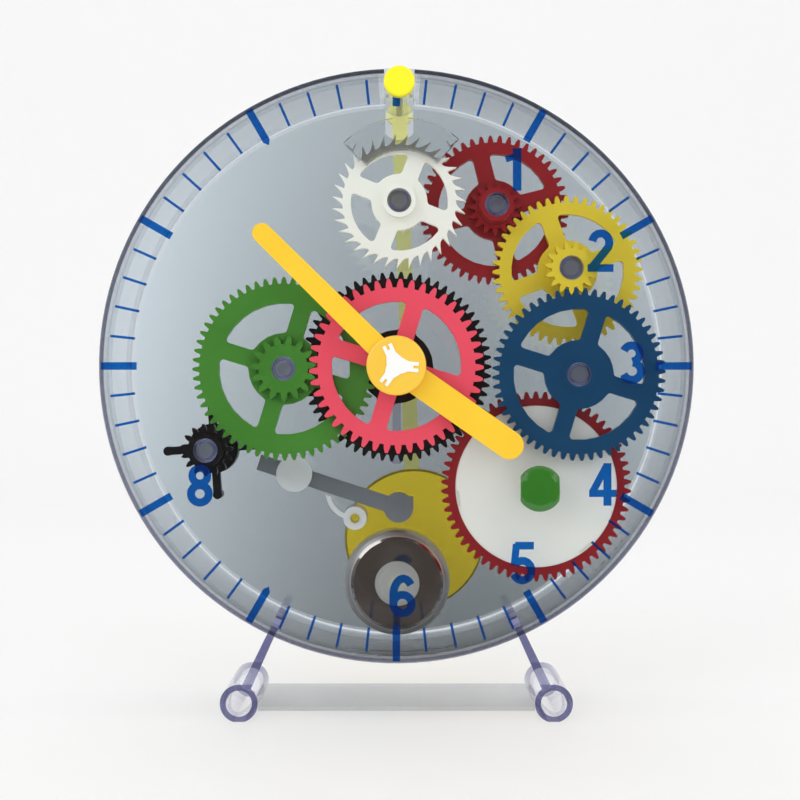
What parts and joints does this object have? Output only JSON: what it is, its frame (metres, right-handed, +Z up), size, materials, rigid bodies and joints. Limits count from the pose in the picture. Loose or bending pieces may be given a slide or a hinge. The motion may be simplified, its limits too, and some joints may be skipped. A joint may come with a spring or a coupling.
{
  "type": "geared teaching clock",
  "caption": "Round clear-cased demonstration clock on two slotted-in feet, with open coloured gearing, anchor and pendulum, spring barrel, hour and minute hands, and a striker with a bell.",
  "frame": {"origin": "on the table, under the middle of the whole clock: the bottom centre of its bounding box, hands at rest as pictured", "axes": "+X to the right of the dial, +Y from the dial to the back, +Z up"},
  "size_m": [0.196, 0.0572, 0.2155],
  "materials": {
    "clear": "clear moulded, polished",
    "clear_lilac": "clear moulded with a lilac tint",
    "ivory": "moulded, satin",
    "milky": "moulded, translucent white",
    "black": "moulded, satin",
    "green": "moulded, satin",
    "blue": "moulded, glossy",
    "yellow": "moulded, satin",
    "bright_yellow": "moulded, glossy",
    "red": "moulded, satin",
    "pink": "moulded, satin",
    "amber": "moulded, slightly translucent",
    "olive": "moulded, satin",
    "grey": "moulded, matte",
    "steel": "ground",
    "bell_steel": "polished"
  },
  "bodies": {
    "case": {"front_plate": "clear", "case_band": "clear", "back_plate": "clear", "top_bracket": "clear", "left_foot": "clear_lilac", "right_foot": "clear_lilac", "foot_bar": "clear", "hammer_pin": "clear", "hammer_washer": "milky", "return_spring": "milky", "spring_peg": "clear", "bell": "bell_steel", "bell_post": "clear", "bell_cap": "clear"},
    "barrel": {"barrel_gear": "red", "barrel_drum": "ivory", "barrel_cover": "ivory", "mainspring": "steel"},
    "minute": {"minute_wheel": "black", "centre_arbor": "steel", "minute_hand": "amber", "hand_collar": "amber", "hub_cap": "amber"},
    "hour": {"hour_wheel": "pink", "hour_hand": "amber"},
    "green": {"green_wheel": "green"},
    "star": {"star_wheel": "black"},
    "blue": {"blue_wheel": "blue"},
    "yellow": {"yellow_wheel": "yellow"},
    "red": {"red_wheel": "red"},
    "escape": {"escape_wheel": "ivory"},
    "winding": {"winding_arbor": "steel", "winding_knob": "green", "ratchet_wheel": "ivory"},
    "click": {"click": "grey"},
    "pendulum": {"anchor": "clear", "anchor_arbor": "steel", "start_knob": "bright_yellow", "pendulum_rod": "olive", "pendulum_bob": "olive"},
    "hammer": {"hammer_lever": "grey"}
  },
  "joints": [
    {"name": "barrel_turn", "type": "hinge", "parent": "case", "child": "barrel", "pos_m": [0.04707, 0, 0.07685], "axis": [0, 1, 0], "continuous": true},
    {"name": "minute_turn", "type": "hinge", "parent": "case", "child": "minute", "pos_m": [0, 0, 0.1172], "axis": [0, 1, 0], "continuous": true},
    {"name": "green_turn", "type": "hinge", "parent": "case", "child": "green", "pos_m": [-0.03749, 0, 0.11641], "axis": [0, 1, 0], "continuous": true},
    {"name": "hour_turn", "type": "hinge", "parent": "case", "child": "hour", "pos_m": [0, 0, 0.1172], "axis": [0, 1, 0], "continuous": true},
    {"name": "star_turn", "type": "hinge", "parent": "case", "child": "star", "pos_m": [-0.06335, 0, 0.08926], "axis": [0, 1, 0], "continuous": true},
    {"name": "blue_turn", "type": "hinge", "parent": "case", "child": "blue", "pos_m": [0.06062, 0, 0.11449], "axis": [0, 1, 0], "continuous": true},
    {"name": "yellow_turn", "type": "hinge", "parent": "case", "child": "yellow", "pos_m": [0.05809, 0, 0.1499], "axis": [0, 1, 0], "continuous": true},
    {"name": "red_turn", "type": "hinge", "parent": "case", "child": "red", "pos_m": [0.03338, 0, 0.17092], "axis": [0, 1, 0], "continuous": true},
    {"name": "escape_turn", "type": "hinge", "parent": "case", "child": "escape", "pos_m": [0.00096, 0, 0.17223], "axis": [0, 1, 0], "continuous": true},
    {"name": "winding_turn", "type": "hinge", "parent": "case", "child": "winding", "pos_m": [0.04707, 0, 0.07685], "axis": [0, 1, 0], "continuous": true},
    {"name": "click_lift", "type": "hinge", "parent": "case", "child": "click", "pos_m": [0.03402, 0, 0.07077], "axis": [0, 1, 0], "range_deg": [-10, 0], "stiffness_Nm_per_rad": 0.01, "springref_deg": 2.86},
    {"name": "pendulum_swing", "type": "hinge", "parent": "case", "child": "pendulum", "pos_m": [0.00096, 0, 0.21043], "axis": [0, 1, 0], "range_deg": [-1, 5]},
    {"name": "hammer_lift", "type": "hinge", "parent": "case", "child": "hammer", "pos_m": [-0.036, 0, 0.08], "axis": [0, 1, 0], "range_deg": [-18, 3], "stiffness_Nm_per_rad": 0.02, "springref_deg": -0.74}
  ],
  "couplings": [
    {"joint": "minute_turn", "follows": "barrel_turn", "ratio": -1},
    {"joint": "green_turn", "follows": "barrel_turn", "ratio": 0.25},
    {"joint": "hour_turn", "follows": "barrel_turn", "ratio": -0.083333},
    {"joint": "star_turn", "follows": "barrel_turn", "ratio": -1},
    {"joint": "blue_turn", "follows": "barrel_turn", "ratio": -3.4444},
    {"joint": "yellow_turn", "follows": "barrel_turn", "ratio": 12.859},
    {"joint": "red_turn", "follows": "barrel_turn", "ratio": -41.15},
    {"joint": "escape_turn", "follows": "barrel_turn", "ratio": 131.68}
  ]
}
